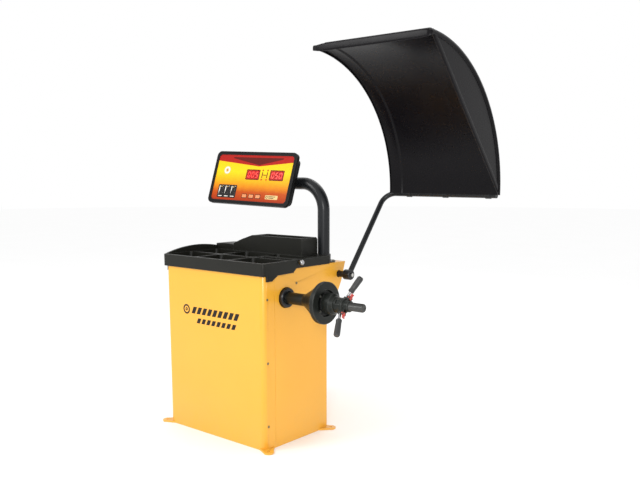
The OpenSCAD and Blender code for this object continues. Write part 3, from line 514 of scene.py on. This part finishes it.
def display_prints():
    deep_red = ink("ink_red_brown", (0.095, 0.006, 0.004))
    dark = ink("ink_black", (0.016, 0.014, 0.014))
    white = ink("ink_white", (0.72, 0.70, 0.64))
    cream = ink("ink_cream", (0.66, 0.46, 0.20))
    red_ink = ink("ink_red", (0.33, 0.010, 0.006))
    half_w, half_h = FILM_W / 2, FILM_H / 2
    corners = rounded_outline(FILM_W, FILM_H, 17 * mm)
    top = [p for p in corners if p[1] > half_h - 17.5 * mm]
    right_part = [p for p in top if p[0] > 0]
    left_part = [p for p in top if p[0] < 0]
    printed("print_top_band", [[(-half_w, 84 * mm), (30 * mm, 60 * mm), (half_w, 84 * mm)]
                               + right_part + left_part], red_ink)
    printed("print_chevron", [[(-140 * mm, 98 * mm), (30 * mm, 66 * mm), (170 * mm, 98 * mm),
                               (170 * mm, 104 * mm), (-140 * mm, 104 * mm)]], deep_red, 2)
    # A tyre's section with its rim line, the usual picture beside the two read-outs
    printed("print_tyre_disc", [circle_outline(21 * mm, 40, -165 * mm, 36 * mm)], cream)
    printed("print_tyre_ring", ring(-165 * mm, 36 * mm, 17 * mm, 11 * mm), white, 2)
    printed("print_tyre_hub", [circle_outline(4 * mm, 24, -165 * mm, 36 * mm)], red_ink, 2)
    arrows = []
    for side in (-1, 1):
        u = 76 * mm + side * 15 * mm
        for v, way in ((38 * mm, 1), (-2 * mm, -1)):
            arrows.append([(u - 6 * mm, v), (u + 6 * mm, v), (u, v + way * 10 * mm)][::way])
    printed("print_arrows", arrows, red_ink)
    printed("print_rim_section", [bar(61 * mm, 18 * mm, 5 * mm, 30 * mm, 2 * mm),
                                  bar(91 * mm, 18 * mm, 5 * mm, 30 * mm, 2 * mm),
                                  bar(76 * mm, 18 * mm, 22 * mm, 4 * mm)], deep_red)
    # A chart of weight positions: a generic block of three wheel sections
    printed("print_chart_ground", [bar(-139 * mm, -71 * mm, 119 * mm, 66 * mm, 5 * mm)], dark)
    chart = []
    for k in range(3):
        u = -178 * mm + 39 * k * mm
        chart.append(bar(u - 11 * mm, -66 * mm, 5 * mm, 44 * mm, 2 * mm))
        chart.append(bar(u + 11 * mm, -66 * mm, 5 * mm, 44 * mm, 2 * mm))
        chart.append(bar(u, -72 * mm + 8 * k * mm, 17 * mm, 5 * mm))
        chart.append(bar(u, -96 * mm, 24 * mm, 3.5 * mm))
    printed("print_chart", chart, white, 2)
    printed("print_chart_marks", [circle_outline(3 * mm, 20, -178 * mm + 39 * k * mm, -48 * mm)
                                  for k in range(3)], cream, 2)
    printed("print_label", [bar(145 * mm, -90 * mm, 75 * mm, 20 * mm, 4 * mm)], cream)
    printed("print_label_ring", ring(117 * mm, -90 * mm, 6.5 * mm, 4 * mm), dark, 2)
    printed("print_label_bars", [bar(148 * mm, -86.5 * mm, 42 * mm, 3.2 * mm),
                                 bar(143 * mm, -93.5 * mm, 32 * mm, 3.2 * mm)], dark, 2)
    frames = []
    for u, v in WINDOWS:
        frames.append(bar(u, v, WINDOW[0] + 9 * mm, WINDOW[1] + 9 * mm, 5 * mm))
        frames.append(bar(u, v, WINDOW[0] + 0.8 * mm, WINDOW[1] + 0.8 * mm, 3 * mm))
    printed("print_window_frames", frames, deep_red)
    key_frames = []
    for key in KEYS:
        spot = head_local(centre(key))
        key_frames.append(bar(spot.x, spot.z, 32 * mm, 22 * mm, 4 * mm))
        key_frames.append(bar(spot.x, spot.z, 27.2 * mm, 17.2 * mm, 3 * mm))
    printed("print_key_frames", key_frames, dark)


display_film()
display_prints()


# ---------- seven-segment read-outs ----------

def glowing(name, colour, strength):
    n = Nodes(name)
    glow = n.mix(n.between(n.noise(300), 0.0, 1.0), colour, tuple(0.85 * c for c in colour))
    n.set(Base_Color=glow, Emission_Color=glow, Roughness=n.between(n.noise(90), 0.2, 0.3))
    n.shader.inputs["Emission Strength"].default_value = strength
    return n.mat


SEGMENTS = {"0": "abcdef", "5": "acdfg", "8": "abcdefg"}


def segment(name, u, v, w, h, t):
    """One bar of a digit, with pointed ends, in a digit w wide and h tall."""
    spots = {"a": (0, h / 2, 0), "g": (0, 0, 0), "d": (0, -h / 2, 0), "b": (w / 2, h / 4, 1),
             "c": (w / 2, -h / 4, 1), "e": (-w / 2, -h / 4, 1), "f": (-w / 2, h / 4, 1)}
    x, y, upright = spots[name]
    length = (h / 2 if upright else w) / 2 - 0.4 * mm
    tip = length - t / 2
    shape = [(-length, 0), (-tip, -t / 2), (tip, -t / 2), (length, 0), (tip, t / 2), (-tip, t / 2)]
    if upright:
        shape = [(-b, a) for a, b in shape]
    slant = 0.09
    return [(u + x + a + slant * (y + b), v + y + b) for a, b in shape]


def read_out(name, window, text):
    lit, unlit = [], []
    u0, v0 = WINDOWS[window]
    for k, char in enumerate(text):
        for part in "abcdefg":
            bar_shape = segment(part, u0 + (k - 1) * 23 * mm, v0, 12.5 * mm, 26 * mm, 3.4 * mm)
            (lit if part in SEGMENTS.get(char, "") else unlit).append(bar_shape)
    for kind, shapes, slot in (("lit", lit, "led_lit"), ("unlit", unlit, "led_dark")):
        if shapes:
            piece = on_head(flat_shape(f"{name}_{kind}", shapes, 0.3 * mm), LED_FACE - 0.15 * mm)
            finish_piece(piece, "head", "led_glass", MATERIALS[slot])


MATERIALS["led_lit"] = glowing("led_segment_lit", (1.0, 0.035, 0.015), 1.1)
MATERIALS["led_dark"] = speckled("led_segment_unlit", (0.24, 0.004, 0.004), (0.29, 0.006, 0.006),
                                 specular=0.1)
read_out("digits_left", 0, "005")
read_out("digits_right", 1, "050")


# ---------- hood moulding ----------

# The arc the hood sweeps, the same as the CAD hood's
HOOD_START, HOOD_END = math.radians(-1.3), math.radians(88)


def hood_moulding():
    """The formed sheet hood: a swept skin with rolled edges, a step along its left band, an inset end
    wall with a bead along its free edge, and a folded lip. It fills the CAD hood's own box."""
    low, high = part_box("hood_shell")
    radius = (high.z - low.z) / (math.sin(HOOD_END) - math.sin(HOOD_START))
    middle = Vector((0, high.y - radius, high.z - radius * math.sin(HOOD_END)))
    x0, x1 = low.x, high.x
    step, skin, band = 6 * mm, 3 * mm, 55 * mm
    low_r = radius - step

    def left(x, drop):
        """A profile point x mm in from the left edge, drop mm under the left band."""
        return (x0 + x * mm, low_r - drop * mm)

    def right(x, drop):
        """A profile point x mm in from the right edge, drop mm under the main skin."""
        return (x1 - x * mm, radius - drop * mm)

    # Left rolled edge, left band, ramp up to the main skin, right rolled edge
    outer = [left(0, 14), left(0, 4), left(1.2, 1.2), left(4, 0),
             (x0 + band, low_r), (x0 + band + 3 * mm, low_r + 1 * mm),
             (x0 + band + 7 * mm, radius - 1 * mm), (x0 + band + 11 * mm, radius),
             right(16, 0), right(8, 1.5), right(2.5, 6), right(0, 13),
             right(0, 19), right(2, 22), right(7, 24)]
    # The same way back, one skin further in
    inner = [right(10, 22), right(8, 14), right(17, 3),
             (x0 + band + 12 * mm, radius - skin), (x0 + band + 8 * mm, radius - skin - 1 * mm),
             (x0 + band + 4 * mm, low_r - skin + 1 * mm), (x0 + band, low_r - skin),
             left(5, 3), left(3, 5), left(3, 14)]
    profile = outer + inner
    count = 96
    bm = bmesh.new()
    rows = []
    for k in range(count + 1):
        a = HOOD_START + (HOOD_END - HOOD_START) * k / count
        rows.append([bm.verts.new((x, middle.y + r * math.cos(a), middle.z + r * math.sin(a)))
                     for x, r in profile])
    total = len(profile)
    for one, two in zip(rows, rows[1:]):
        for i in range(total):
            j = (i + 1) % total
            bm.faces.new((one[i], one[j], two[j], two[i]))
    bm.faces.new(rows[0])
    bm.faces.new(list(reversed(rows[-1])))
    shell = mesh_object("hood_moulding", bm)
    shell.data.set_sharp_from_angle(angle=math.radians(50))
    finish_piece(shell, "hood", "hood_plastic", replaced=("hood_shell",))

    def at(a, r, x):
        return Vector((x, middle.y + r * math.cos(a), middle.z + r * math.sin(a)))

    # The end wall fills the segment between the skin and its chord
    wall_r = radius - 14 * mm
    wall_back, wall_front = x1 - 10 * mm, x1 - 7 * mm
    bm = bmesh.new()
    faces = []
    for x in (wall_back, wall_front):
        faces.append([bm.verts.new(at(HOOD_START + (HOOD_END - HOOD_START) * k / count, wall_r, x))
                      for k in range(count + 1)])
    bm.faces.new(faces[0])
    bm.faces.new(list(reversed(faces[1])))
    for i in range(count + 1):
        j = (i + 1) % (count + 1)
        bm.faces.new((faces[0][i], faces[1][i], faces[1][j], faces[0][j]))
    wall = mesh_object("hood_end_wall", bm, smooth=False)
    finish_piece(wall, "hood", "hood_plastic")

    # The bead lies on the wall, just inside its free edge
    foot, head = at(HOOD_START, wall_r, wall_front), at(HOOD_END, wall_r, wall_front)
    crown = at((HOOD_START + HOOD_END) / 2, wall_r, wall_front)
    outward = (crown - (foot + head) / 2).normalized()
    bead_half = 11 * mm
    rounded_bar("hood_end_bead", foot + outward * bead_half, head + outward * bead_half,
                outward, bead_half, 5 * mm)
    lip_mid = radius - 17 * mm
    lip_drop = Vector((0, 0, 1 * mm))
    rounded_bar("hood_front_lip", at(HOOD_END, lip_mid, x0 + 1 * mm) - lip_drop,
                at(HOOD_END, lip_mid, x1 - 1 * mm) - lip_drop,
                at(HOOD_END, 1, 0) - middle, 15.5 * mm, 3.4 * mm)


def rounded_bar(name, start, end, wide, half_w, half_t):
    """A bar of superellipse section, half_w along the direction wide and half_t across it."""
    along = (end - start).normalized()
    wide = wide.normalized()
    thick = along.cross(wide).normalized()
    bm = bmesh.new()
    rings = []
    steps, spin = 24, 28
    for k in range(steps + 1):
        t = k / steps
        taper = min(1.0, 0.55 + 6 * min(t, 1 - t))
        ring_points = []
        for i in range(spin):
            a = math.tau * i / spin
            u = math.copysign(abs(math.cos(a)) ** 0.6, math.cos(a)) * half_w * taper
            v = math.copysign(abs(math.sin(a)) ** 0.6, math.sin(a)) * half_t * taper
            ring_points.append(bm.verts.new(start.lerp(end, t) + wide * u + thick * v))
        rings.append(ring_points)
    for one, two in zip(rings, rings[1:]):
        for i in range(spin):
            j = (i + 1) % spin
            bm.faces.new((one[i], one[j], two[j], two[i]))
    bm.faces.new(rings[0])
    bm.faces.new(list(reversed(rings[-1])))
    return finish_piece(mesh_object(name, bm), "hood", "hood_plastic")


hood_moulding()


# ---------- front graphic ----------

def front_graphic():
    """A plain wheel sign and two rows of slanted blocks, screen printed on the front panel."""
    dark = ink("ink_front_graphic", (0.020, 0.018, 0.016), 0.38)
    wheel = ring(-180 * mm, 576 * mm, 23 * mm, 15 * mm) + ring(-180 * mm, 576 * mm, 8 * mm, 3 * mm)

    def block(x0, x1, z0, z1, lean):
        return [(x0, z0), (x1, z0), (x1 + lean, z1), (x0 + lean, z1)]

    rows = []
    for k in range(9):
        x = (-146 + 35 * k) * mm
        rows.append(block(x, x + 24 * mm, 560 * mm, 592 * mm, 16 * mm))
    for k in range(8):
        x = (-112 + 33 * k) * mm
        rows.append(block(x, x + 22 * mm, 517 * mm, 541 * mm, 12 * mm))
    for name, loops in (("front_wheel_sign", wheel), ("front_blocks", rows)):
        shape = flat_shape(name, loops, INK)
        shape.location = (0, -HALF_D - INK / 2, 0)
        finish_piece(shape, "root", "black_paint", dark)


front_graphic()


# ---------- camera, floor and light ----------

def camera():
    """The view: from the front right, a little above the spindle, aimed slightly down."""
    data = bpy.data.cameras.new("camera")
    data.lens = 42.33
    data.sensor_width = 36
    data.shift_x = -0.0064
    data.shift_y = 0.0772
    data.clip_end = 100
    obj = bpy.data.objects.new("camera", data)
    obj.location = (2.526, -2.452, 1.198)
    obj.rotation_euler = (math.radians(90 - 8.73), 0, math.radians(39.85))
    bpy.context.scene.collection.objects.link(obj)
    bpy.context.scene.camera = obj


def floor():
    bm = bmesh.new()
    bmesh.ops.create_circle(bm, cap_ends=True, segments=96, radius=25)
    obj = mesh_object("studio_floor", bm)
    obj.location = (0, 0, -0.2 * mm)
    n = Nodes("studio_floor")
    tone = n.mix(n.noise(1.5, 2), (0.965, 0.965, 0.965), (0.985, 0.985, 0.985))
    n.set(Base_Color=tone, Roughness=0.9)
    n.shader.inputs["Specular IOR Level"].default_value = 0.0
    assign(obj, n.mat)


def area_light(name, place, aim, size, power, colour=(1, 1, 1)):
    data = bpy.data.lights.new(name, "AREA")
    data.shape = "DISK"
    data.size = size
    data.energy = power
    data.color = colour
    obj = bpy.data.objects.new(name, data)
    obj.location = place
    obj.rotation_euler = (Vector(aim) - Vector(place)).to_track_quat("-Z", "Y").to_euler()
    bpy.context.scene.collection.objects.link(obj)


def world(strength):
    scene_world = bpy.data.worlds.new("studio")
    scene_world.use_nodes = True
    background = scene_world.node_tree.nodes["Background"]
    background.inputs["Color"].default_value = (1.0, 1.0, 1.0, 1)
    background.inputs["Strength"].default_value = strength
    bpy.context.scene.world = scene_world


camera()
floor()
world(1.0)
bpy.context.scene.view_settings.view_transform = "Standard"
TARGET = (0.1, 0, 0.9)
area_light("key_light", (-1.6, -3.4, 3.2), TARGET, 1.8, 60)
area_light("corner_light", (2.1, -2.3, 1.5), TARGET, 0.5, 30)
area_light("back_light", (-0.5, 3.0, 3.6), TARGET, 2.0, 25)
